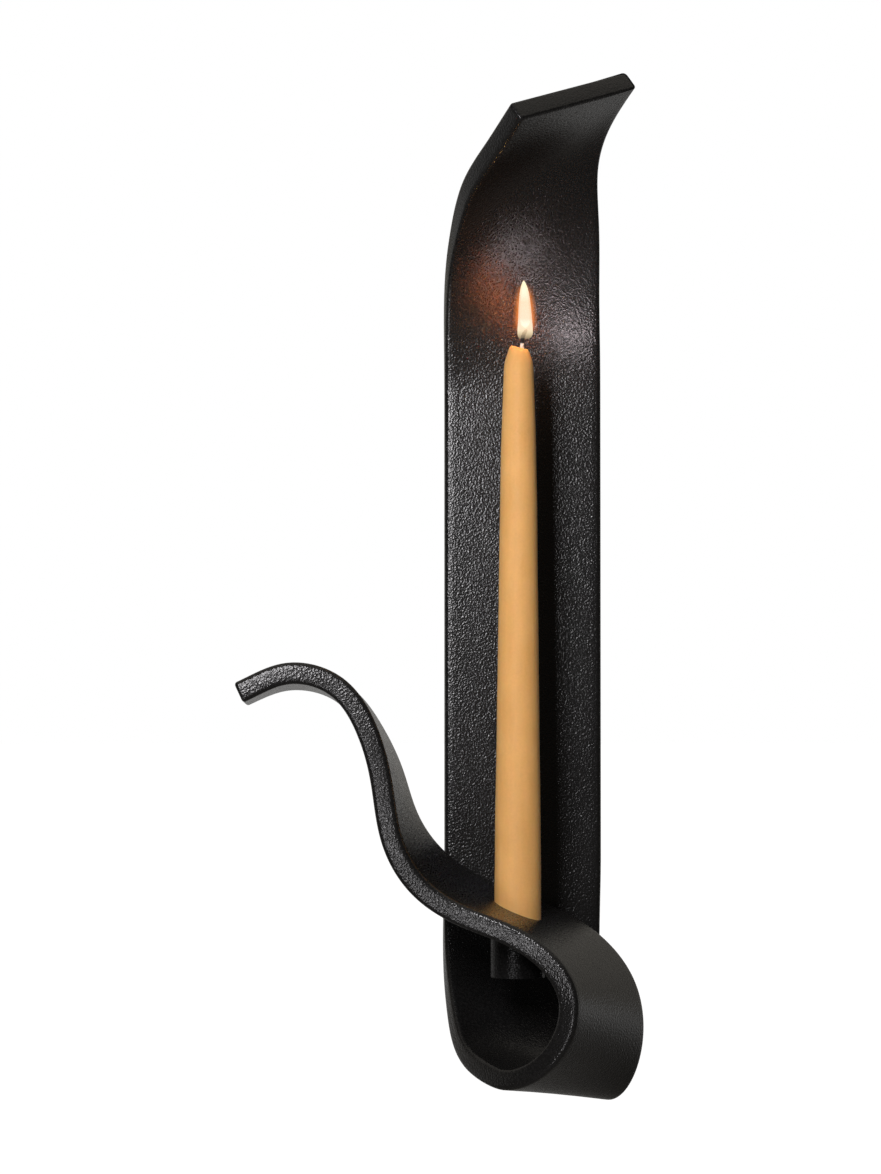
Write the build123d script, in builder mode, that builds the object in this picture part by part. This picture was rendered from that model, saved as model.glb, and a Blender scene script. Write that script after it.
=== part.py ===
from build123d import *
import math
import os

os.makedirs("parts", exist_ok=True)

# Candle wall sconce: one cast strip, flat against the wall, curled at the top into
# a canopy and rolled at the bottom into a loop that ends in a finger hook.
# A taper candle stands in a cup under a hole in the top of the loop.
# Frame: +X to the right, +Y into the wall, +Z up. The wall plane is y = 0, and the
# origin lies on it, midway between the two keyholes that the sconce hangs on.

# Strip
STRIP_WIDTH = 76.0
STRIP_THICKNESS = 10.0
EDGE_RADIUS = 2.2
TIP_RADIUS = 1.5
TIP_RADIUS_LIMIT = 0.27  # of the flat that the corner radii leave through the thickness
PLATE_HEIGHT = 244.0
SECTION_PITCH = 8.0
LEVEL_STEPS = 6

# Candle, its hole in the strip and the cup under the hole
CANDLE_DIAMETER = 22.0
CANDLE_CLEARANCE = 0.3
CANDLE_LENGTH = 294.0
CANDLE_MIDDLE_DIAMETER = 18.9
CANDLE_SHOULDER_DIAMETER = 14.5
CANDLE_SHOULDER_HEIGHT = 8.0
CANDLE_RIM_DIAMETER = 8.2
CANDLE_WELL_DEPTH = 1.2
CUP_DEPTH = 30.0
CUP_WALL = 1.5
CUP_FLOOR = 2.0
CUP_POKE_HOLE = 6.0

# Wick
WICK_DIAMETER = 2.0
WICK_STRAIGHT = 4.0
WICK_BEND_RADIUS = 5.0
WICK_BEND_ANGLE = 55.0

# Keyhole hangers let into the back of the plate
KEYHOLE_SPACING = 170.0
KEYHOLE_ENTRY = 9.0
KEYHOLE_SLOT = 4.6
KEYHOLE_DROP = 9.0
HANGER_LENGTH = 46.0
HANGER_WIDTH = 16.0
HANGER_THICKNESS = 1.6
HANGER_CORNER = 3.0
HANGER_FIT = 0.2
HEAD_SPACE_WIDTH = 11.0
HEAD_SPACE_DEPTH = 3.4

# Countersunk screws, two to a hanger
SCREW_PITCH = 38.0
SCREW_DIAMETER = 3.0
SCREW_HEAD = 5.6
SCREW_HEAD_ANGLE = 90.0
SCREW_LENGTH = 6.0
SCREW_SLOT_WIDTH = 0.8
SCREW_SLOT_DEPTH = 0.6

# Stations of the strip below the plate, in order from the plate's lower end: sideways
# place, height over the plate's lower end, direction of the strip's width (turned from
# +X towards the wall, then raised), and distance of its right edge from the wall.
LOOP = [
    (0.0, 0.0, 0.0, 0.0, STRIP_THICKNESS / 2),
    (-0.5, -26.0, 1.0, -1.0, STRIP_THICKNESS / 2),
    (-1.0, -52.0, 7.5, -3.0, STRIP_THICKNESS / 2),
    (-1.0, -76.0, 17.0, -5.5, STRIP_THICKNESS / 2 + 3.0),
    (2.0, -98.0, 26.5, -9.5, 17.0),
    (14.5, -106.0, 40.0, -8.5, 31.5),
    (29.0, -89.0, 54.0, -4.0, 38.0),
    (31.0, -63.0, 63.0, 1.5, 35.5),
    (16.0, -41.5, 70.0, 4.5, 29.0),
]
CANDLE_SEAT = (-6.0, -29.0, 76.0, 5.5, 22.5)
TAIL = [
    (-28.0, -20.0, 79.5, 7.0, 18.5),
    (-48.0, -6.5, 81.0, 8.0, 17.0),
    (-61.0, 13.5, 82.0, 7.0, 18.0),
    (-67.0, 36.5, 84.0, 4.0, 19.0),
    (-75.5, 60.0, 86.5, 0.0, 19.5),
    (-90.5, 79.5, 88.5, -1.5, 19.0),
    (-113.5, 85.5, 90.0, -2.5, 19.0),
    (-136.5, 77.0, 90.0, -2.0, 19.0),
]
TAIL_TIP_HEADING = (-0.91, 0.0, -0.42)

# Stations of the canopy, in order from the plate's upper end, with heights over it.
CANOPY = [
    (0.0, 0.0, 0.0, 0.0, STRIP_THICKNESS / 2),
    (-0.5, 29.0, 5.5, 2.0, STRIP_THICKNESS / 2 + 0.5),
    (0.0, 56.0, 15.5, 8.0, STRIP_THICKNESS / 2 + 6.0),
    (1.5, 80.0, 27.5, 15.0, 22.0),
    (9.0, 98.0, 34.5, 18.0, 40.0),
    (19.0, 113.0, 37.5, 17.0, 61.5),
]
CANOPY_TIP_HEADING = (0.35, -0.79, 0.50)


def place(station, end_height):
    """Middle of the strip at a station, and the direction of its width there."""
    x, height, turn, rise, right_edge = station
    level = math.cos(math.radians(rise))
    across = Vector(
        math.cos(math.radians(turn)) * level,
        math.sin(math.radians(turn)) * level,
        math.sin(math.radians(rise)),
    )
    y = -(right_edge + across.Y * STRIP_WIDTH / 2)
    return Vector(x, y, end_height + height), across


def level_with(middle, heading, line, along):
    """Fraction of a line's length, near a first guess, that lies square to a heading."""
    for _ in range(LEVEL_STEPS):
        ahead = (line.position_at(along) - middle).dot(heading)
        slope = line.tangent_at(along).dot(heading)
        along = min(max(along - ahead / slope / line.length, 0.0), 1.0)
    return along


def section_planes(stations, end_height, start_heading, tip_heading):
    """Planes square to the strip, a section pitch apart, with x along its width."""
    middles = []
    rights = []
    for station in stations:
        middle, across = place(station, end_height)
        middles.append(middle)
        rights.append(middle + across * STRIP_WIDTH / 2)
    lengths = [0.0]
    for before, after in zip(middles, middles[1:]):
        lengths.append(lengths[-1] + (after - before).length)
    knots = [length / lengths[-1] for length in lengths]
    headings = [start_heading, tip_heading]
    middle_line = Edge.make_spline(middles, tangents=headings, parameters=knots)
    right_line = Edge.make_spline(rights, tangents=headings, parameters=knots)
    count = round(middle_line.length / SECTION_PITCH)
    planes = []
    along = 0.0
    for step in range(count + 1):
        middle = middle_line.position_at(step / count)
        heading = middle_line.tangent_at(step / count)
        along = level_with(middle, heading, right_line, along)
        across = (right_line.position_at(along) - middle).normalized()
        square = heading - across * heading.dot(across)
        planes.append(Plane(origin=middle, x_dir=across, z_dir=square))
    return planes


def wall_plane(z, depth=0.0):
    """Plane facing the wall, at a height and at a depth into the back of the plate."""
    return Plane(origin=(0, -depth, z), x_dir=(-1, 0, 0), z_dir=(0, 1, 0))


# Sizes and places that follow from those above
plate_low = -PLATE_HEIGHT / 2
plate_high = PLATE_HEIGHT / 2
loop_stations = LOOP + [CANDLE_SEAT] + TAIL
loop_planes = section_planes(loop_stations, plate_low, (0, 0, -1), TAIL_TIP_HEADING)
canopy_planes = section_planes(CANOPY, plate_high, (0, 0, 1), CANOPY_TIP_HEADING)
candle_hole = CANDLE_DIAMETER + 2 * CANDLE_CLEARANCE
cup_diameter = candle_hole + 2 * CUP_WALL

# The candle stands plumb, through the middle of the strip at its station. The section
# nearest to that station gives the slope of the strip's faces there.
seat, seat_across = place(CANDLE_SEAT, plate_low)
seat_section = min(loop_planes, key=lambda plane: (plane.origin - seat).length)
seat_normal = seat_section.y_dir if seat_section.y_dir.Z > 0 else -seat_section.y_dir
seat_top_z = seat.Z + STRIP_THICKNESS / 2 / seat_normal.Z
cup_inside_z = seat_top_z - CUP_DEPTH
cup_under_z = cup_inside_z - CUP_FLOOR
hole_cut_height = CUP_DEPTH + 2 * STRIP_THICKNESS
candle_base = Plane(origin=(seat.X, seat.Y, cup_inside_z), z_dir=(0, 0, 1))
candle_profile = Plane(origin=candle_base.origin, x_dir=(1, 0, 0), z_dir=(0, -1, 0))
candle_axis = Axis(candle_base.origin, (0, 0, 1))
wick_radius = WICK_DIAMETER / 2
edge_flat = STRIP_THICKNESS - 2 * EDGE_RADIUS
tip_radius = min(TIP_RADIUS, edge_flat * TIP_RADIUS_LIMIT)

# Each hanger's middle lies midway between its keyhole's seat and its entry.
hanger_middles = {
    "upper": (KEYHOLE_SPACING - KEYHOLE_DROP) / 2,
    "lower": -(KEYHOLE_SPACING + KEYHOLE_DROP) / 2,
}
screw_places = [(0, SCREW_PITCH / 2), (0, -SCREW_PITCH / 2)]
screw_head_height = (SCREW_HEAD - SCREW_DIAMETER) / 2 / math.tan(math.radians(SCREW_HEAD_ANGLE / 2))

# Strip: plate, loop with its tail, and canopy
with BuildPart() as ribbon_body:
    with BuildSketch(Plane.XY.offset(plate_low)):
        with Locations((0, -STRIP_THICKNESS / 2)):
            RectangleRounded(STRIP_WIDTH, STRIP_THICKNESS, EDGE_RADIUS)
    extrude(amount=PLATE_HEIGHT)
    for planes in (loop_planes, canopy_planes):
        for plane in planes:
            with BuildSketch(plane):
                RectangleRounded(STRIP_WIDTH, STRIP_THICKNESS, EDGE_RADIUS)
        loft()
    for tip in (canopy_planes[-1], loop_planes[-1]):
        tip_face = ribbon_body.faces().sort_by_distance(tip.origin)[0]
        fillet(tip_face.edges(), tip_radius)
    # Candle hole, plumb through the top of the loop only
    with BuildSketch(candle_base):
        Circle(candle_hole / 2)
    extrude(amount=hole_cut_height, mode=Mode.SUBTRACT)
    # Seats for the hangers, with room behind each for the wall screw's head
    for middle_z in hanger_middles.values():
        with BuildSketch(wall_plane(middle_z)):
            RectangleRounded(
                HANGER_WIDTH + 2 * HANGER_FIT,
                HANGER_LENGTH + 2 * HANGER_FIT,
                HANGER_CORNER + HANGER_FIT,
            )
        extrude(amount=-HANGER_THICKNESS, mode=Mode.SUBTRACT)
        with BuildSketch(wall_plane(middle_z, HANGER_THICKNESS)):
            SlotCenterToCenter(KEYHOLE_DROP, HEAD_SPACE_WIDTH, rotation=90)
        extrude(amount=-HEAD_SPACE_DEPTH, mode=Mode.SUBTRACT)
        with BuildSketch(wall_plane(middle_z)):
            with Locations(*screw_places):
                Circle(SCREW_DIAMETER / 2)
        extrude(amount=-SCREW_LENGTH, mode=Mode.SUBTRACT)
ribbon_body.part.label = "ribbon_body"
export_step(ribbon_body.part, "parts/ribbon_body.step")

# Cup: a tube with a floor, coped to the underside of the strip that it is welded to
with BuildPart() as candle_cup:
    with BuildSketch(Plane.XY.offset(cup_under_z)):
        with Locations((seat.X, seat.Y)):
            Circle(cup_diameter / 2)
    extrude(amount=CUP_FLOOR + hole_cut_height)
    split(bisect_by=Plane(origin=seat, z_dir=seat_normal), keep=Keep.BOTTOM)
    with BuildSketch(candle_base):
        Circle(candle_hole / 2)
    extrude(amount=hole_cut_height, mode=Mode.SUBTRACT)
    with BuildSketch(candle_base):
        Circle(CUP_POKE_HOLE / 2)
    extrude(amount=-CUP_FLOOR, mode=Mode.SUBTRACT)
    add(ribbon_body.part, mode=Mode.SUBTRACT)
candle_cup.part.label = "candle_cup"
export_step(candle_cup.part, "parts/candle_cup.step")

# Candle: a taper with a rounded shoulder and a shallow well of melted wax
with BuildPart() as candle:
    with BuildSketch(candle_profile):
        with BuildLine():
            base = Line((wick_radius, 0), (CANDLE_DIAMETER / 2, 0))
            shoulder_z = CANDLE_LENGTH - CANDLE_SHOULDER_HEIGHT
            side = ThreePointArc(
                base @ 1,
                (CANDLE_MIDDLE_DIAMETER / 2, shoulder_z / 2),
                (CANDLE_SHOULDER_DIAMETER / 2, shoulder_z),
            )
            rim = (CANDLE_RIM_DIAMETER / 2, CANDLE_LENGTH)
            TangentArc(side @ 1, rim, tangent=side % 1)
            well = Line(rim, (wick_radius, CANDLE_LENGTH - CANDLE_WELL_DEPTH))
            Line(well @ 1, base @ 0)
        make_face()
    revolve(axis=candle_axis)
candle.part.label = "candle"
export_step(candle.part, "parts/candle.step")

# Wick: runs the whole length of the candle and bends over at its burnt end
with BuildPart() as wick:
    with BuildLine(candle_profile):
        stem = Line((0, 0), (0, CANDLE_LENGTH - CANDLE_WELL_DEPTH + WICK_STRAIGHT))
        JernArc(stem @ 1, stem % 1, WICK_BEND_RADIUS, -WICK_BEND_ANGLE)
    with BuildSketch(candle_base):
        Circle(wick_radius)
    sweep()
wick.part.label = "wick"
export_step(wick.part, "parts/wick.step")

for name, middle_z in hanger_middles.items():
    # Keyhole hanger: a flush steel plate, countersunk at both ends for its screws
    with BuildPart() as hanger:
        with BuildSketch(wall_plane(middle_z)):
            RectangleRounded(HANGER_WIDTH, HANGER_LENGTH, HANGER_CORNER)
            SlotCenterToCenter(
                KEYHOLE_DROP, KEYHOLE_SLOT, rotation=90, mode=Mode.SUBTRACT
            )
            with Locations((0, -KEYHOLE_DROP / 2)):
                Circle(KEYHOLE_ENTRY / 2, mode=Mode.SUBTRACT)
        extrude(amount=-HANGER_THICKNESS)
        with Locations(wall_plane(middle_z)):
            with Locations(*screw_places):
                CounterSinkHole(
                    SCREW_DIAMETER / 2,
                    SCREW_HEAD / 2,
                    counter_sink_angle=SCREW_HEAD_ANGLE,
                )
    hanger.part.label = f"{name}_hanger"
    export_step(hanger.part, f"parts/{name}_hanger.step")

    # Both screws of the hanger, with slotted heads flush with its back
    with BuildPart() as screws:
        for screw_x, screw_z in screw_places:
            screw_back = wall_plane(middle_z + screw_z)
            with BuildSketch(Plane(origin=screw_back.origin, z_dir=(0, 0, 1))):
                Polygon(
                    (screw_x, 0),
                    (screw_x, -SCREW_LENGTH),
                    (SCREW_DIAMETER / 2, -SCREW_LENGTH),
                    (SCREW_DIAMETER / 2, -screw_head_height),
                    (SCREW_HEAD / 2, 0),
                    align=None,
                )
            revolve(axis=Axis(screw_back.origin, screw_back.z_dir))
            with BuildSketch(screw_back):
                Rectangle(SCREW_HEAD, SCREW_SLOT_WIDTH)
            extrude(amount=-SCREW_SLOT_DEPTH, mode=Mode.SUBTRACT)
    screws.part.label = f"{name}_hanger_screws"
    export_step(screws.part, f"parts/{name}_hanger_screws.step")
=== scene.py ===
import math

import bmesh
import bpy
import numpy as np
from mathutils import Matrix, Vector, noise


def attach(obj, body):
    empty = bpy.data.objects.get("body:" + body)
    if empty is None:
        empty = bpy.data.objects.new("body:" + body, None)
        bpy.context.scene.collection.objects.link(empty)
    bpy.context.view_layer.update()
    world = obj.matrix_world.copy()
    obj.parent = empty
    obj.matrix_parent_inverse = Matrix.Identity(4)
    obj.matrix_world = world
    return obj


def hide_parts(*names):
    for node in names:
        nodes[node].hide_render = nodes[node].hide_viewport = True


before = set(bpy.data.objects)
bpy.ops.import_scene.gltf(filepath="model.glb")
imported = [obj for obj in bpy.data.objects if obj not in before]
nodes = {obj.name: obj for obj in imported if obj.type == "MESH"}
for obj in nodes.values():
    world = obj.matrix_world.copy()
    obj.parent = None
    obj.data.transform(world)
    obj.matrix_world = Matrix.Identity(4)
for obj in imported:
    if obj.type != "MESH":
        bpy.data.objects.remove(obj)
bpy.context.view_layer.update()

# Sizes below are in millimetres, as on the part's drawing. Meshes are in metres.
MM = 0.001

# Strip: its section and the rounding of its two tips
STRIP_WIDTH = 76.0
STRIP_THICKNESS = 10.0
EDGE_RADIUS = 2.2
TIP_RADIUS = 1.5
PLATE_HEIGHT = 244.0

# Stations of the strip: sideways place, height over the plate's end, direction of its
# width (turned from +X towards the wall, then raised), right edge's distance from the wall
LOOP = [
    (0.0, 0.0, 0.0, 0.0, 5.0),
    (-0.5, -26.0, 1.0, -1.0, 5.0),
    (-1.0, -52.0, 7.5, -3.0, 5.0),
    (-1.0, -76.0, 17.0, -5.5, 8.0),
    (2.0, -98.0, 26.5, -9.5, 17.0),
    (14.5, -106.0, 40.0, -8.5, 31.5),
    (29.0, -89.0, 54.0, -4.0, 38.0),
    (31.0, -63.0, 63.0, 1.5, 35.5),
    (16.0, -41.5, 70.0, 4.5, 29.0),
    (-6.0, -29.0, 76.0, 5.5, 22.5),
    (-28.0, -20.0, 79.5, 7.0, 18.5),
    (-48.0, -6.5, 81.0, 8.0, 17.0),
    (-61.0, 13.5, 82.0, 7.0, 18.0),
    (-67.0, 36.5, 84.0, 4.0, 19.0),
    (-75.5, 60.0, 86.5, 0.0, 19.5),
    (-90.5, 79.5, 88.5, -1.5, 19.0),
    (-113.5, 85.5, 90.0, -2.5, 19.0),
    (-136.5, 77.0, 90.0, -2.0, 19.0),
]
TAIL_TIP_HEADING = (-0.91, 0.0, -0.42)
CANOPY = [
    (0.0, -24.0, 0.0, 0.0, 5.0),
    (-0.2, 0.0, 2.2, 0.6, 5.2),
    (-0.5, 29.0, 8.0, 3.0, 5.6),
    (0.0, 56.0, 17.0, 8.5, 11.0),
    (1.5, 80.0, 28.0, 15.0, 22.0),
    (9.0, 98.0, 34.5, 18.0, 40.0),
    (19.0, 113.0, 37.5, 17.0, 61.5),
]
CANOPY_TIP_HEADING = (0.35, -0.79, 0.50)
# The canopy curls from its left side, so its section is a little hollow to the front. The
# hollow fades out over this share of the canopy, at its tip.
BOW_FADE_SHARE = 0.625

# How finely the strip is divided: along it, across it, through it and round its corners
RING_PITCH = 2.0
WIDE_PARTS = 26
THICK_PARTS = 3
CORNER_PARTS = 5
STRIP_SHARP_ANGLE = 40.0
# Points on a line when its length is measured, and steps that find a section's right edge
LINE_SAMPLES = 4001
LEVEL_STEPS = 6

# Seats of the keyhole hangers in the back of the plate: heights of their middles, and width,
# height, corner radius and depth of the seat and of the room for a wall screw's head
HANGER_MIDDLES = (80.5, -89.5)
SEAT_SIZE = (16.4, 46.4, 3.2)
SEAT_DEPTH = 1.6
SEAT_CORNER_PARTS = 6
HEAD_SPACE_SIZE = (11.0, 20.0, 5.5)
HEAD_SPACE_DEPTH = 5.0
HEAD_SPACE_CORNER_PARTS = 12
SCREW_REACH = 19.0
SCREW_RADIUS = 1.5
SCREW_DEPTH = 6.0
SCREW_PARTS = 24
# A cutter starts this far outside the plate's back
CUT_START = -1.0

# The candle's hole through the top of the loop
CANDLE_X = -6.0
CANDLE_Y = -59.16
CANDLE_FOOT_Z = -175.59
HOLE_RADIUS = 11.3
HOLE_REACH = 50.0
HOLE_PARTS = 96

# The picture that the camera is set for, and the camera that was fitted to it
PICTURE_WIDTH = 881
FOCAL_PX = 3485.0
EYE = Vector((-0.1156, -1.7, -0.038))
TURN_RIGHT = 2.555
TILT_UP = 1.529


# Meshes

def make_piece(name, points, faces, material):
    """A smooth closed mesh from points in millimetres."""
    mesh = bpy.data.meshes.new(name)
    mesh.from_pydata([Vector(point) * MM for point in points], [], faces)
    mesh.update()
    builder = bmesh.new()
    builder.from_mesh(mesh)
    bmesh.ops.recalc_face_normals(builder, faces=builder.faces)
    builder.to_mesh(mesh)
    builder.free()
    mesh.shade_smooth()
    mesh.materials.append(material)
    piece = bpy.data.objects.new(name, mesh)
    bpy.context.scene.collection.objects.link(piece)
    return piece


def skin(rings):
    """Points and faces of a closed skin over rings of equal size, with a flat end at each."""
    size = len(rings[0])
    points = [point for ring in rings for point in ring]
    faces = [tuple(range(size)), tuple(range(len(points) - size, len(points)))]
    for ring in range(len(rings) - 1):
        for corner in range(size):
            after = (corner + 1) % size
            low = ring * size
            faces.append((low + corner, low + after, low + size + after, low + size + corner))
    return points, faces


def rounded_outline(width, height, radius, corner_parts, wide_parts=1, high_parts=1):
    """Points round a rectangle with rounded corners, centred on the origin."""
    outline = []
    # Each corner's centre and first angle, and the parts of the side that comes after it
    sides = (
        (width / 2 - radius, height / 2 - radius, 0, wide_parts),
        (radius - width / 2, height / 2 - radius, 90, high_parts),
        (radius - width / 2, radius - height / 2, 180, wide_parts),
        (width / 2 - radius, radius - height / 2, 270, high_parts),
    )
    for index, (x, y, start, parts) in enumerate(sides):
        for step in range(corner_parts + 1):
            angle = math.radians(start + 90 * step / corner_parts)
            outline.append((x + radius * math.cos(angle), y + radius * math.sin(angle)))
        next_x, next_y, next_start, _ = sides[(index + 1) % 4]
        turn = math.radians(next_start)
        goal = (next_x + radius * math.cos(turn), next_y + radius * math.sin(turn))
        last = outline[-1]
        for part in range(1, parts):
            share = part / parts
            outline.append((
                last[0] + (goal[0] - last[0]) * share,
                last[1] + (goal[1] - last[1]) * share,
            ))
    return outline


# The strip's line

def place(station, end_height):
    """Middle of the strip at a station, and the direction of its width there."""
    x, height, turn, rise, right_edge = station
    level = math.cos(math.radians(rise))
    across = np.array((
        math.cos(math.radians(turn)) * level,
        math.sin(math.radians(turn)) * level,
        math.sin(math.radians(rise)),
    ))
    y = -(right_edge + across[1] * STRIP_WIDTH / 2)
    return np.array((x, y, end_height + height)), across


def end_speed(knots, points):
    """Slope at the first knot of the parabola through the first three points."""
    a, b, c = knots[:3]
    return (
        points[0] * (2 * a - b - c) / ((a - b) * (a - c))
        + points[1] * (a - c) / ((b - a) * (b - c))
        + points[2] * (a - b) / ((c - a) * (c - b))
    )


def held_spline(knots, points, start_heading, end_heading):
    """Cubic spline through points that leaves and arrives along two given headings."""
    gaps = np.diff(knots)
    rises = np.diff(points, axis=0) / gaps[:, None]
    matrix = np.eye(len(knots))
    slopes = np.array(points)
    for end, heading, speed in (
        (0, start_heading, end_speed(knots, points)),
        (-1, end_heading, end_speed(knots[::-1], points[::-1])),
    ):
        heading = np.array(heading)
        slopes[end] = heading * np.abs(speed).sum() / np.abs(heading).sum()
    for i in range(1, len(knots) - 1):
        matrix[i, i - 1:i + 2] = gaps[i], 2 * (gaps[i - 1] + gaps[i]), gaps[i - 1]
        slopes[i] = 3 * (gaps[i] * rises[i - 1] + gaps[i - 1] * rises[i])
    slopes = np.linalg.solve(matrix, slopes)

    def at(shares):
        span = np.clip(np.searchsorted(knots, shares, side="right") - 1, 0, len(gaps) - 1)
        gap = gaps[span][:, None]
        s = (shares - knots[span])[:, None] / gap
        start, end = points[span], points[span + 1]
        leave, arrive = slopes[span] * gap, slopes[span + 1] * gap
        spot = (
            (2 * s**3 - 3 * s**2 + 1) * start
            + (s**3 - 2 * s**2 + s) * leave
            + (3 * s**2 - 2 * s**3) * end
            + (s**3 - s**2) * arrive
        )
        slope = (
            (6 * s**2 - 6 * s) * (start - end)
            + (3 * s**2 - 4 * s + 1) * leave
            + (3 * s**2 - 2 * s) * arrive
        ) / gap
        return spot, slope

    return at


def chord_knots(points):
    """Share of the way along the chords at each point."""
    steps = np.linalg.norm(np.diff(points, axis=0), axis=1)
    return np.concatenate(([0.0], np.cumsum(steps))) / steps.sum()


def even_shares(line, pitch):
    """Shares of a line at equal steps of length."""
    shares = np.linspace(0, 1, LINE_SAMPLES)
    spots, _ = line(shares)
    steps = np.linalg.norm(np.diff(spots, axis=0), axis=1)
    lengths = np.concatenate(([0.0], np.cumsum(steps)))
    count = round(lengths[-1] / pitch)
    return np.interp(np.linspace(0, lengths[-1], count + 1), lengths, shares)


def unit(vectors):
    return vectors / np.linalg.norm(vectors, axis=-1, keepdims=True)


def strip_frames(stations, end_height, start_heading, tip_heading):
    """Middle, width direction and heading of the strip at even steps from the plate's end."""
    placed = [place(station, end_height) for station in stations]
    middles = np.array([middle for middle, _ in placed])
    rights = np.array([middle + across * STRIP_WIDTH / 2 for middle, across in placed])
    knots = chord_knots(middles)
    middle_line = held_spline(knots, middles, start_heading, tip_heading)
    right_line = held_spline(knots, rights, start_heading, tip_heading)
    shares = even_shares(middle_line, RING_PITCH)
    middle, heading = middle_line(shares)
    heading = unit(heading)
    # The right-hand point of each section lies square to the middle's heading
    along = shares
    for _ in range(LEVEL_STEPS):
        right, slope = right_line(along)
        ahead = ((right - middle) * heading).sum(axis=1)
        along = np.clip(along - ahead / (slope * heading).sum(axis=1), 0, 1)
    right, _ = right_line(along)
    across = unit(right - middle)
    square = unit(heading - across * (heading * across).sum(axis=1, keepdims=True))
    return middle, across, square


def plate_frames():
    """Frames of the flat plate from the canopy's start to the loop's, without those two."""
    top = PLATE_HEIGHT / 2 + CANOPY[0][1]
    bottom = -PLATE_HEIGHT / 2
    heights = np.linspace(top, bottom, round((top - bottom) / RING_PITCH) + 1)[1:-1]
    middle = np.array([(0, -STRIP_THICKNESS / 2, height) for height in heights])
    across = np.tile((1.0, 0.0, 0.0), (len(heights), 1))
    square = np.tile((0.0, 0.0, -1.0), (len(heights), 1))
    return middle, across, square


def strip_ring(middle, across, square, inset=0.0, bow=0.0):
    """Points round the strip's section, drawn in by an inset, its middle pushed back by a bow."""
    front = np.cross(square, across)
    outline = rounded_outline(
        STRIP_WIDTH - 2 * inset,
        STRIP_THICKNESS - 2 * inset,
        EDGE_RADIUS - inset,
        CORNER_PARTS,
        WIDE_PARTS,
        THICK_PARTS,
    )
    half = STRIP_WIDTH / 2
    return [
        middle + across * u + front * (v - bow * (1 - (u / half) ** 2)) for u, v in outline
    ]


def canopy_bows(across):
    """Bow of each canopy section, from the tip down. It leaves the right edge lying flat."""
    fade = np.linspace(0, 1 / BOW_FADE_SHARE, len(across)).clip(0, 1)
    return STRIP_WIDTH / 4 * across[:, 1] * np.sin(fade * math.pi / 2) ** 2


def tip_rings(middle, across, square, outward):
    """Rings that round the edge of a tip, from its flat end inwards."""
    rings = []
    for step in range(CORNER_PARTS + 1):
        angle = math.radians(90 * step / CORNER_PARTS)
        back = TIP_RADIUS * (1 - math.cos(angle))
        inset = TIP_RADIUS * (1 - math.sin(angle))
        rings.append(strip_ring(middle - square * outward * back, across, square, inset))
    return rings


cutter_material = bpy.data.materials.new("cutter")


def prism(name, outline, lift, low, high):
    """A plain solid for cutting: an outline set at two distances by the function lift."""
    rings = [[lift(u, v, reach) for u, v in outline] for reach in (low, high)]
    return make_piece(name, *skin(rings), cutter_material)


def cut(piece, cutters):
    """Cuts solids out of a piece, leaving its mesh as the result."""
    for cutter in cutters:
        step = piece.modifiers.new("cut", "BOOLEAN")
        step.operation = "DIFFERENCE"
        step.solver = "EXACT"
        step.object = cutter
    graph = bpy.context.evaluated_depsgraph_get()
    mesh = bpy.data.meshes.new_from_object(piece.evaluated_get(graph))
    mesh.name = piece.name
    piece.modifiers.clear()
    piece.data = mesh
    for cutter in cutters:
        bpy.data.objects.remove(cutter)


def on_wall(z):
    """Lifts an outline's point off the wall, at a height on the plate's middle line."""
    def lift(u, v, reach):
        return (u, -reach, z + v)
    return lift


def at_candle(u, v, reach):
    """Lifts an outline's point up from the candle's foot."""
    return (CANDLE_X + u, CANDLE_Y + v, CANDLE_FOOT_Z + reach)


def circle(radius, parts):
    angles = [2 * math.pi * part / parts for part in range(parts)]
    return [(radius * math.cos(angle), radius * math.sin(angle)) for angle in angles]


def make_strip(material):
    canopy = strip_frames(CANOPY, PLATE_HEIGHT / 2, (0, 0, 1), CANOPY_TIP_HEADING)
    loop = strip_frames(LOOP, -PLATE_HEIGHT / 2, (0, 0, -1), TAIL_TIP_HEADING)
    # The rings go from the canopy's tip down, so the canopy's sections are turned end for end
    middle, across, square = (part[::-1] for part in canopy)
    rings = tip_rings(middle[0], across[0], -square[0], -1)
    for *section, bow in zip(middle[1:], across[1:], -square[1:], canopy_bows(across)[1:]):
        rings.append(strip_ring(*section, bow=bow))
    for sections in (plate_frames(), tuple(part[:-1] for part in loop)):
        rings += [strip_ring(*section) for section in zip(*sections)]
    rings += tip_rings(*(part[-1] for part in loop), 1)[::-1]
    strip = make_piece("strip", *skin(rings), material)

    hole = circle(HOLE_RADIUS, HOLE_PARTS)
    seat = rounded_outline(*SEAT_SIZE, SEAT_CORNER_PARTS)
    head_space = rounded_outline(*HEAD_SPACE_SIZE, HEAD_SPACE_CORNER_PARTS)
    screw = circle(SCREW_RADIUS, SCREW_PARTS)
    cutters = [prism("candle_hole", hole, at_candle, 0, HOLE_REACH)]
    for z in HANGER_MIDDLES:
        for name, outline, height, depth in (
            ("seat", seat, z, SEAT_DEPTH),
            ("head_space", head_space, z, HEAD_SPACE_DEPTH),
            ("screw_hole", screw, z + SCREW_REACH, SCREW_DEPTH),
            ("screw_hole", screw, z - SCREW_REACH, SCREW_DEPTH),
        ):
            cutters.append(prism(name, outline, on_wall(height), CUT_START, depth))
    cut(strip, cutters)
    strip.data.shade_smooth()
    strip.data.set_sharp_from_angle(angle=math.radians(STRIP_SHARP_ANGLE))
    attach(strip, "sconce")
    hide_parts("ribbon_body")


# Candle

CANDLE_PARTS = 72
CANDLE_PITCH = 1.1
CANDLE_SHARP_ANGLE = 35.0
# Height and radius of the two rings that round the foot's edge
CANDLE_FOOT = [
    (-175.51, 10.2),
    (-175.26, 10.75),
]
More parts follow.
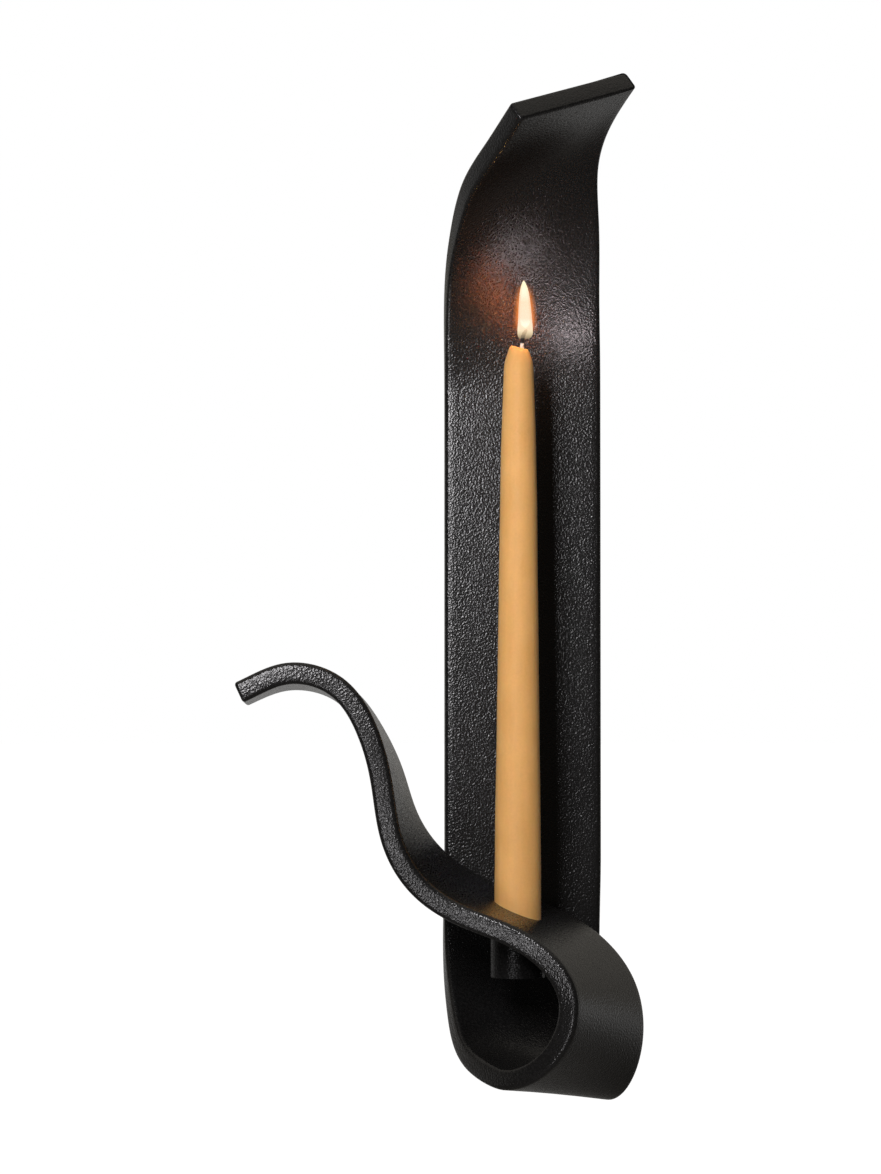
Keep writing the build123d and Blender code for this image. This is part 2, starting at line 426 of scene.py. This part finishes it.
# Height and radius of the candle's side, foot to rim
CANDLE_SIDE = [
    (-175.5, 11.0),
    (-145.0, 11.0),
    (-94.5, 10.55),
    (0.0, 9.3),
    (94.0, 7.55),
    (104.0, 7.2),
    (109.5, 6.95),
    (112.8, 6.45),
    (115.7, 5.5),
    (118.9, 3.85),
]
CANDLE_RIM_HEADING = (0.62, -0.78)
# Lip of the rim: how far in from the rim and how far down. Then the floor of the well of
# melted wax, which rises to the wick: how far from the middle and how far down.
LIP = [
    (0.3, 0.0),
    (0.7, -0.3),
    (1.2, -0.75),
    (1.8, -1.15),
]
WELL_FLOOR = [
    (1.5, -1.5),
    (1.0, -1.35),
    (0.4, -1.2),
]
# How far the candle leans to the right, how much more its rim does, and the heights between
# which each of these and the rim's own shape come in
CANDLE_LEAN = 0.65
LEAN_SPAN = (-145.0, 118.0)
RIM_SHIFT = 0.35
RIM_SHIFT_SPAN = (111.0, 119.0)
RIM_SPAN = (109.0, 117.0)
RIM_EASE = 1.5
# The rim is higher on the left, dips in the middle and has small nicks
RIM_TILT = 0.95
RIM_SAG = 0.3
NICK_DEPTH = 0.22
NICK_FINENESS = 2.4
# Unevenness of the side above the cup and of the well, and how fine it is round and along
SIDE_UNEVEN = 0.13
SIDE_UNEVEN_SPAN = (-143.0, -135.0)
WELL_UNEVEN = 0.02
WOBBLE_FINENESS = (0.9, 0.035)
WAVE_FINENESS = (2.2, 0.16)
WAVE_SHARE = 0.4


def share_of(span, z):
    """How far a height is through a span, from 0 to 1."""
    low, high = span
    return min(max((z - low) / (high - low), 0), 1)


def candle_centre(z):
    """Sideways place of the candle's middle, which leans a little to the right."""
    return (
        CANDLE_X + CANDLE_LEAN * share_of(LEAN_SPAN, z)
        + RIM_SHIFT * share_of(RIM_SHIFT_SPAN, z)
    )


def noise_round(x, y, z, fineness):
    """Noise at a point on a circle of radius 1, at a height z in the noise."""
    return noise.noise(Vector((x * fineness, y * fineness, z)))


def candle_ring(z, radius, rim_share, uneven):
    """A ring of the candle, with as much of the rim's shape and of the unevenness as asked."""
    round_wobble, along_wobble = WOBBLE_FINENESS
    round_wave, along_wave = WAVE_FINENESS
    ring = []
    for part in range(CANDLE_PARTS):
        angle = 2 * math.pi * part / CANDLE_PARTS
        x, y = math.cos(angle), math.sin(angle)
        wobble = noise_round(x, y, z * along_wobble, round_wobble) * uneven
        wave = noise_round(x, y, z * along_wave + 40, round_wave) * uneven * WAVE_SHARE
        reach = radius + wobble + wave
        drop = RIM_TILT * -x + RIM_SAG * (x * x - 0.5)
        nick = NICK_DEPTH * noise_round(x, y, 7.3, NICK_FINENESS)
        ring.append((
            candle_centre(z) + x * reach,
            CANDLE_Y + y * reach,
            z + (drop + nick) * rim_share,
        ))
    return ring


def make_candle(material):
    side = np.array(CANDLE_SIDE)
    line = held_spline(chord_knots(side), side, (1, 0), CANDLE_RIM_HEADING)
    rings = [candle_ring(z, radius, 0, 0.0) for z, radius in CANDLE_FOOT]
    spots, _ = line(even_shares(line, CANDLE_PITCH))
    for z, radius in spots[1:]:
        rim_share = share_of(RIM_SPAN, z) ** RIM_EASE
        uneven = SIDE_UNEVEN * share_of(SIDE_UNEVEN_SPAN, z)
        rings.append(candle_ring(z, radius, rim_share, uneven))
    top, rim = side[-1]
    for radius, z in [(rim - inset, z) for inset, z in LIP] + WELL_FLOOR:
        rings.append(candle_ring(top + z, radius, 1, WELL_UNEVEN))
    candle = make_piece("taper", *skin(rings), material)
    candle.data.set_sharp_from_angle(angle=math.radians(CANDLE_SHARP_ANGLE))
    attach(candle, "candle")
    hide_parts("candle")


# Wick: three strands twisted together, burnt at the end

WICK_LINE = [
    (-6.0, -175.0),
    (-6.0, -60.0),
    (-5.3, 60.0),
    (-4.3, 110.0),
    (-3.8, 118.5),
    (-3.75, 122.0),
    (-3.1, 125.0),
    (-1.5, 127.6),
]
WICK_TIP_HEADING = (0.7, 0, 0.72)
STRANDS = 3
STRAND_RADIUS = 0.56
STRAND_REACH = 0.46
STRAND_TWIST = 4.5
STRAND_PARTS = 8
STRAND_PITCH = 0.6
# Share of a strand's radius at its burnt tip, and how much it grows at each ring down from there
STRAND_TIP_SHARE = 0.45
STRAND_TIP_GROWTH = 0.2


def make_wick(material):
    spots = np.array([(x, CANDLE_Y, z) for x, z in WICK_LINE])
    line = held_spline(chord_knots(spots), spots, (0, 0, 1), WICK_TIP_HEADING)
    middles, headings = line(even_shares(line, STRAND_PITCH))
    headings = unit(headings)
    side = np.array((0.0, 1.0, 0.0))
    points = []
    faces = []
    for strand in range(STRANDS):
        rings = []
        for step, (middle, heading) in enumerate(zip(middles, headings)):
            turn = 2 * math.pi * (strand / STRANDS + step * STRAND_PITCH / STRAND_TWIST)
            over = np.cross(side, heading)
            centre = middle + (side * math.sin(turn) + over * math.cos(turn)) * STRAND_REACH
            from_tip = len(middles) - 1 - step
            radius = STRAND_RADIUS * min(1, STRAND_TIP_SHARE + STRAND_TIP_GROWTH * from_tip)
            rings.append([
                centre + (side * v + over * u) * radius for u, v in circle(1, STRAND_PARTS)
            ])
        strand_points, strand_faces = skin(rings)
        faces += [tuple(len(points) + corner for corner in face) for face in strand_faces]
        points += strand_points
    wick = make_piece("wick_strands", points, faces, material)
    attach(wick, "candle")
    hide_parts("wick")


# Flame: a white core in a cream body, with thin glowing shells round them

# Height, sideways place of the middle and radius, foot to tip
FLAME_BODY = [
    (123.4, -2.6, 2.5),
    (125.0, -2.4, 3.45),
    (127.4, -2.3, 3.65),
    (130.2, -2.3, 3.48),
    (135.7, -2.4, 3.1),
    (141.1, -2.55, 2.65),
    (146.5, -2.75, 1.85),
    (150.2, -2.95, 0.6),
]
FLAME_CORE = [
    (128.6, -2.3, 0.6),
    (130.6, -2.3, 2.1),
    (135.7, -2.4, 2.3),
    (141.1, -2.55, 1.9),
    (145.5, -2.7, 1.2),
    (148.2, -2.85, 0.4),
]
# Directions in height, sideways place and radius in which the outline leaves and arrives
FLAME_FOOT_HEADING = (1, 0, 0.8)
FLAME_TIP_HEADING = (1, -0.03, -0.5)
# The last rings at the tip: share of the radius, and height over the profile's end
FLAME_TIP = ((0.5, 0.45), (0.1, 0.75))
FLAME_PARTS = 32
FLAME_PITCH = 0.8
# How far each glowing shell stands out from the body, and how dense the shells are: the
# first one, and each one's share of the one inside it
FLAME_GLOWS = (0.5, 1.0, 1.6, 2.4)
GLOW_ALPHA = 0.24
GLOW_FADE = 0.68


def make_flame(name, material, profile, grow=0.0):
    """A flame piece from a profile, grown by a distance all round."""
    profile = np.array(profile)
    line = held_spline(chord_knots(profile), profile, FLAME_FOOT_HEADING, FLAME_TIP_HEADING)
    spots, _ = line(even_shares(line, FLAME_PITCH))
    rings = []
    for z, x, radius in spots:
        rings.append([(x + u, CANDLE_Y + v, z) for u, v in circle(radius + grow, FLAME_PARTS)])
    for share, rise in FLAME_TIP:
        high = z + rise * (1 + grow)
        reach = (radius + grow) * share
        rings.append([(x + u, CANDLE_Y + v, high) for u, v in circle(reach, FLAME_PARTS)])
    flame = make_piece(name, *skin(rings), material)
    flame.visible_shadow = False
    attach(flame, "candle")
    return flame


# Materials

def new_material(name):
    material = bpy.data.materials.new(name)
    material.use_nodes = True
    tree = material.node_tree
    tree.nodes.clear()
    out = tree.nodes.new("ShaderNodeOutputMaterial")
    shader = tree.nodes.new("ShaderNodeBsdfPrincipled")
    tree.links.new(shader.outputs["BSDF"], out.inputs["Surface"])
    return material, tree, shader


def add_node(tree, kind, settings=None, inputs=None):
    """A node with its settings, and its inputs set from values or linked from sockets."""
    node = tree.nodes.new(kind)
    for name, value in (settings or {}).items():
        setattr(node, name, value)
    for name, value in (inputs or {}).items():
        if isinstance(value, bpy.types.NodeSocket):
            tree.links.new(value, node.inputs[name])
        else:
            node.inputs[name].default_value = value
    return node


def object_place(tree):
    """A point's place on the object, in metres."""
    return add_node(tree, "ShaderNodeTexCoord").outputs["Object"]


def parts_of(tree, where):
    """The X, Y and Z of a place or direction."""
    return add_node(tree, "ShaderNodeSeparateXYZ", inputs={"Vector": where}).outputs


def scaled(tree, where, scale):
    return add_node(tree, "ShaderNodeMapping", inputs={
        "Vector": where, "Scale": scale,
    }).outputs["Vector"]


def add_noise(tree, where, scale, detail=2.0, roughness=0.5):
    return add_node(tree, "ShaderNodeTexNoise", inputs={
        "Vector": where, "Scale": scale, "Detail": detail, "Roughness": roughness,
    }).outputs["Fac"]


def add_bump(tree, shader, height, strength, distance):
    bump = add_node(tree, "ShaderNodeBump", inputs={
        "Height": height, "Strength": strength, "Distance": distance,
    })
    tree.links.new(bump.outputs["Normal"], shader.inputs["Normal"])


def map_range(tree, value, low, high, to_low=0.0, to_high=1.0):
    return add_node(tree, "ShaderNodeMapRange", inputs={
        "Value": value, "From Min": low, "From Max": high, "To Min": to_low, "To Max": to_high,
    }).outputs["Result"]


def math_of(tree, operation, first, second):
    inputs = {0: first, 1: second}
    return add_node(tree, "ShaderNodeMath", {"operation": operation}, inputs).outputs[0]


def ramp(tree, value, stops):
    """A colour ramp from (place, colour) stops."""
    node = add_node(tree, "ShaderNodeValToRGB", inputs={"Fac": value})
    elements = node.color_ramp.elements
    for index, (spot, colour) in enumerate(stops):
        if index < len(elements):
            element = elements[index]
            element.position = spot
        else:
            element = elements.new(spot)
        element.color = (*colour, 1)
    return node.outputs["Color"]


def coat_material(name, gloss):
    """Black powder coat with a grain like fine sand."""
    material, tree, shader = new_material(name)
    where = object_place(tree)
    grain = add_noise(tree, where, 1120.0, 0.8, 0.5)
    tone = add_noise(tree, where, 22.0, 3.0)
    shade = math_of(
        tree, "MULTIPLY",
        map_range(tree, grain, 0.38, 0.66, 0.55, 1.5),
        map_range(tree, tone, 0.35, 0.65, 0.9, 1.1),
    )
    colour = ramp(tree, math_of(tree, "MULTIPLY", shade, 0.5), (
        (0.0, (0.001, 0.001, 0.001)),
        (1.0, (0.014, 0.0135, 0.0135)),
    ))
    tree.links.new(colour, shader.inputs["Base Color"])
    tree.links.new(map_range(tree, grain, 0.35, 0.65, 0.30, 0.20), shader.inputs["Roughness"])
    add_bump(tree, shader, grain, 1.0, 0.00023)
    shader.inputs["Specular IOR Level"].default_value = gloss
    return material


def wax_material():
    """Honey-coloured wax, a little translucent, with a soft sheen and faint dip marks."""
    material, tree, shader = new_material("beeswax")
    where = object_place(tree)
    clouds = add_noise(tree, where, 60.0, 3.0)
    specks = add_noise(tree, where, 900.0, 2.0)
    streaks = add_noise(tree, scaled(tree, where, (420.0, 420.0, 26.0)), 1.0, 2.0)
    fine_marks = math_of(
        tree, "ADD",
        math_of(tree, "MULTIPLY", specks, 0.25),
        math_of(tree, "MULTIPLY", streaks, 0.25),
    )
    tint = math_of(tree, "ADD", math_of(tree, "MULTIPLY", clouds, 0.5), fine_marks)
    colour = ramp(tree, tint, (
        (0.3, (0.68, 0.365, 0.115)),
        (0.7, (0.82, 0.455, 0.16)),
    ))
    tree.links.new(colour, shader.inputs["Base Color"])
    shader.inputs["Specular IOR Level"].default_value = 0.22
    tree.links.new(map_range(tree, clouds, 0.3, 0.7, 0.5, 0.62), shader.inputs["Roughness"])
    relief = math_of(tree, "ADD", specks, math_of(tree, "MULTIPLY", clouds, 2.0))
    add_bump(tree, shader, relief, 0.5, 0.0001)
    shader.inputs["Subsurface Weight"].default_value = 0.4
    shader.inputs["Subsurface Radius"].default_value = (1.0, 0.55, 0.24)
    shader.inputs["Subsurface Scale"].default_value = 0.005
    return material


def wick_material():
    """Cotton: pale where the wax wets it, then charred, with an ember at its tip."""
    # Heights between which it changes, and how ragged the change is, in metres
    change_span = (0.118, 0.128)
    fray = 0.0006
    material, tree, shader = new_material("wick_cotton")
    where = object_place(tree)
    height = parts_of(tree, where)["Z"]
    fibre = add_noise(tree, where, 1800.0, 2.0)
    ragged = math_of(tree, "ADD", height, math_of(tree, "MULTIPLY", fibre, fray))
    along = map_range(tree, ragged, *change_span)
    colour = ramp(tree, along, (
        (0.0, (0.72, 0.60, 0.42)),
        (0.3, (0.80, 0.76, 0.68)),
        (0.37, (0.010, 0.008, 0.008)),
        (0.70, (0.008, 0.006, 0.006)),
        (1.0, (0.08, 0.03, 0.012)),
    ))
    glow = ramp(tree, along, (
        (0.68, (0.0, 0.0, 0.0)),
        (0.82, (0.16, 0.06, 0.02)),
        (1.0, (0.42, 0.17, 0.06)),
    ))
    tree.links.new(colour, shader.inputs["Base Color"])
    tree.links.new(glow, shader.inputs["Emission Color"])
    shader.inputs["Emission Strength"].default_value = 0.6
    shader.inputs["Roughness"].default_value = 0.85
    add_bump(tree, shader, fibre, 0.8, 0.0001)
    return material


def steel_material():
    """Zinc-plated steel with faint brushing and clouded plating."""
    material, tree, shader = new_material("plated_steel")
    where = object_place(tree)
    brushing = add_noise(tree, scaled(tree, where, (2600.0, 2600.0, 60.0)), 1.0, 3.0)
    clouds = add_noise(tree, where, 90.0, 3.0)
    colour = ramp(tree, clouds, (
        (0.35, (0.50, 0.50, 0.49)),
        (0.65, (0.66, 0.66, 0.63)),
    ))
    tree.links.new(colour, shader.inputs["Base Color"])
    shader.inputs["Metallic"].default_value = 1.0
    tree.links.new(map_range(tree, brushing, 0.3, 0.7, 0.28, 0.46), shader.inputs["Roughness"])
    add_bump(tree, shader, brushing, 0.4, 0.00005)
    return material


def flame_material(name, strength, colours, alphas):
    """Glowing gas. Its colour and how thick it looks change from the foot to the tip."""
    # Heights of the foot and the tip, and how far the changes waver, in metres
    change_span = (0.1222, 0.1522)
    waver = 0.0008
    material, tree, shader = new_material(name)
    where = object_place(tree)
    height = parts_of(tree, where)["Z"]
    flicker = add_noise(tree, where, 160.0, 1.0)
    ragged = math_of(tree, "ADD", height, math_of(tree, "MULTIPLY", flicker, waver))
    along = map_range(tree, ragged, *change_span)
    tree.links.new(ramp(tree, along, colours), shader.inputs["Emission Color"])
    greys = [(spot, (alpha, alpha, alpha)) for spot, alpha in alphas]
    tree.links.new(ramp(tree, along, greys), shader.inputs["Alpha"])
    shader.inputs["Emission Strength"].default_value = strength
    shader.inputs["Base Color"].default_value = (0.0, 0.0, 0.0, 1)
    shader.inputs["Specular IOR Level"].default_value = 0.0
    return material


def paint(node, material):
    """Gives a CAD node a material of its own."""
    mesh = nodes[node].data
    mesh.materials.clear()
    mesh.materials.append(material)


steel = steel_material()
make_strip(coat_material("black_coat", 0.46))
# The cup gets a copy of the black coat that reflects much less, so that it looks darker: painted
# shade for its place deep inside the loop.
paint("candle_cup", coat_material("cup_coat_dimmed_for_shade", 0.1))
for name in ("upper_hanger", "lower_hanger", "upper_hanger_screws", "lower_hanger_screws"):
    paint(name, steel)
make_candle(wax_material())
make_wick(wick_material())
flame = make_flame("flame_body", flame_material(
    "flame_cream", 1.15,
    ((0.02, (0.9, 0.65, 0.4)), (0.12, (1.0, 0.78, 0.48)), (0.3, (1.0, 0.93, 0.74)),
     (0.75, (1.0, 0.93, 0.70)), (1.0, (1.0, 0.85, 0.5))),
    ((0.02, 0.0), (0.09, 0.25), (0.14, 0.45), (0.22, 0.72), (0.3, 0.88), (1.0, 0.92)),
), FLAME_BODY)
make_flame("flame_core", flame_material(
    "flame_white", 3.5,
    ((0.2, (1.0, 0.80, 0.55)), (0.32, (1.0, 0.96, 0.88))),
    ((0.2, 0.0), (0.34, 1.0)),
), FLAME_CORE)
for index, grow in enumerate(FLAME_GLOWS):
    alpha = GLOW_ALPHA * GLOW_FADE ** index
    make_flame(f"flame_glow_{index}", flame_material(
        f"flame_halo_{index}", 1.0,
        ((0.0, (1.0, 0.26, 0.06)), (1.0, (1.0, 0.32, 0.07))),
        ((0.16, 0.0), (0.36, alpha), (0.62, alpha), (0.92, 0.0)),
    ), FLAME_BODY, grow)


# Light. Places and sizes from here on are in metres, and powers in watts.

DAYLIGHT = (1.0, 0.98, 1.0)
FLAME_LAMP_RADIUS = 0.004
METAL_LAMP_ANGLE = 170.0
METAL_LAMP_BLEND = 0.6
# A lamp for the metal points at the wall this far above itself
METAL_LAMP_RISE = 0.02
# Share of white that the ground behind the object shows in a reflection
BEHIND_IN_GLOSS = 0.4
FLOOR_SIZE = 30.0
FLOOR_Z = -0.62


def add_lamp(name, kind, where, power, colour, **settings):
    data = bpy.data.lights.new(name, kind)
    data.energy = power
    data.color = colour
    for setting, value in settings.items():
        setattr(data, setting, value)
    lamp = bpy.data.objects.new(name, data)
    lamp.location = where
    bpy.context.scene.collection.objects.link(lamp)
    return lamp


def aim(lamp, spot):
    """Turns a lamp to a spot, and keeps its own shape out of the picture."""
    lamp.rotation_mode = "QUATERNION"
    lamp.rotation_quaternion = (Vector(spot) - lamp.location).to_track_quat("-Z", "Y")
    lamp.visible_camera = False


# A tall, narrow window stands near on the left, and a weaker lamp lower down on the left
window = add_lamp(
    "key", "AREA", (-0.214, -0.70, 0.185), 4.3, DAYLIGHT,
    shape="RECTANGLE", size=0.14, size_y=0.28,
)
aim(window, (0, 0, 0.185))
low_lamp = add_lamp(
    "low_light", "AREA", (-0.334, -0.80, -0.357), 1.15, DAYLIGHT,
    shape="DISK", size=0.2,
)
aim(low_lamp, (-0.02, -0.095, -0.15))

# The flame's light. One weak lamp stands in the flame, for the wax. Two more stand in for its
# light on the metal behind it: an orange one beside the flame, and a paler one 30 mm to the
# right. All three ride with the flame.
wax_glow = add_lamp(
    "wax_glow", "POINT", (-0.0025, CANDLE_Y * MM, 0.140), 0.05, (1.0, 0.5, 0.2),
    shadow_soft_size=FLAME_LAMP_RADIUS,
)
wax_glow.parent = flame
for name, where, power, colour in (
    ("metal_glow", (0.003, -0.050, 0.138), 0.018, (1.0, 0.20, 0.04)),
    ("metal_gleam", (0.029, -0.055, 0.135), 0.026, (1.0, 0.86, 0.90)),
):
    lamp = add_lamp(
        name, "SPOT", where, power, colour,
        shadow_soft_size=FLAME_LAMP_RADIUS,
        spot_size=math.radians(METAL_LAMP_ANGLE),
        spot_blend=METAL_LAMP_BLEND,
    )
    aim(lamp, (where[0], 0.0, where[2] + METAL_LAMP_RISE))
    lamp.parent = flame


def seen_as_ground(tree, behind):
    """1 where the camera looks, and in a reflection the share of white at what is behind."""
    path = tree.nodes.new("ShaderNodeLightPath").outputs
    clear = math_of(tree, "MAXIMUM", path["Is Glossy Ray"], path["Is Transmission Ray"])
    reflected = math_of(tree, "MULTIPLY", clear, behind)
    return math_of(tree, "MAXIMUM", path["Is Camera Ray"], reflected)


def add_world():
    """White to the camera. The object itself stands in a dim warm room, with some light from
    behind and above it, and glossy rays find white only straight behind it."""
    world = bpy.data.worlds.new("studio")
    world.use_nodes = True
    tree = world.node_tree
    tree.nodes.clear()
    out = tree.nodes.new("ShaderNodeOutputWorld")
    direction = parts_of(tree, add_node(tree, "ShaderNodeTexCoord").outputs["Generated"])
    depth = direction["Y"]
    behind = map_range(tree, depth, 0.94, 1.0, 0.0, BEHIND_IN_GLOSS)
    wall = map_range(tree, depth, 0.1, 0.5, 0.03, 0.25)
    ceiling = map_range(tree, direction["Z"], 0.5, 0.8, 0.0, 0.42)
    dim = add_node(tree, "ShaderNodeBackground", inputs={
        "Color": (1.0, 0.94, 0.84, 1), "Strength": math_of(tree, "MAXIMUM", wall, ceiling),
    })
    white = add_node(tree, "ShaderNodeBackground", inputs={
        "Color": (1, 1, 1, 1), "Strength": 1.0,
    })
    mix = add_node(tree, "ShaderNodeMixShader", inputs={"Fac": seen_as_ground(tree, behind)})
    tree.links.new(dim.outputs["Background"], mix.inputs[1])
    tree.links.new(white.outputs["Background"], mix.inputs[2])
    tree.links.new(mix.outputs["Shader"], out.inputs["Surface"])
    bpy.context.scene.world = world


def add_floor():
    """A wide pale floor, well below the object. It is nearly white to the camera."""
    mesh = bpy.data.meshes.new("floor")
    corners = [
        (-FLOOR_SIZE, -FLOOR_SIZE, 0),
        (FLOOR_SIZE, -FLOOR_SIZE, 0),
        (FLOOR_SIZE, FLOOR_SIZE, 0),
        (-FLOOR_SIZE, FLOOR_SIZE, 0),
    ]
    mesh.from_pydata(corners, [], [(0, 1, 2, 3)])
    material = bpy.data.materials.new("pale_floor")
    material.use_nodes = True
    tree = material.node_tree
    tree.nodes.clear()
    out = tree.nodes.new("ShaderNodeOutputMaterial")
    matt = add_node(tree, "ShaderNodeBsdfDiffuse", inputs={"Color": (0.25, 0.245, 0.24, 1)})
    depth = parts_of(tree, object_place(tree))["Y"]
    behind = map_range(tree, depth, 0.3, 2.2, 0.0, BEHIND_IN_GLOSS)
    glow = add_node(tree, "ShaderNodeEmission", inputs={
        "Color": (1, 1, 1, 1),
        "Strength": math_of(tree, "MULTIPLY", seen_as_ground(tree, behind), 0.98),
    })
    total = add_node(tree, "ShaderNodeAddShader")
    tree.links.new(matt.outputs["BSDF"], total.inputs[0])
    tree.links.new(glow.outputs["Emission"], total.inputs[1])
    tree.links.new(total.outputs["Shader"], out.inputs["Surface"])
    mesh.materials.append(material)
    floor = bpy.data.objects.new("floor", mesh)
    floor.location = (0, 0, FLOOR_Z)
    bpy.context.scene.collection.objects.link(floor)


def add_camera():
    yaw = math.radians(TURN_RIGHT)
    pitch = math.radians(TILT_UP)
    forward = Vector((
        math.sin(yaw) * math.cos(pitch),
        math.cos(yaw) * math.cos(pitch),
        math.sin(pitch),
    ))
    data = bpy.data.cameras.new("camera")
    data.sensor_fit = "HORIZONTAL"
    data.sensor_width = 36.0
    data.lens = data.sensor_width * FOCAL_PX / PICTURE_WIDTH
    data.clip_start = 0.05
    data.clip_end = 60.0
    camera = bpy.data.objects.new("camera", data)
    camera.location = EYE
    camera.rotation_mode = "QUATERNION"
    camera.rotation_quaternion = forward.to_track_quat("-Z", "Y")
    bpy.context.scene.collection.objects.link(camera)
    bpy.context.scene.camera = camera


add_world()
add_floor()
add_camera()
bpy.context.scene.view_settings.view_transform = "Standard"
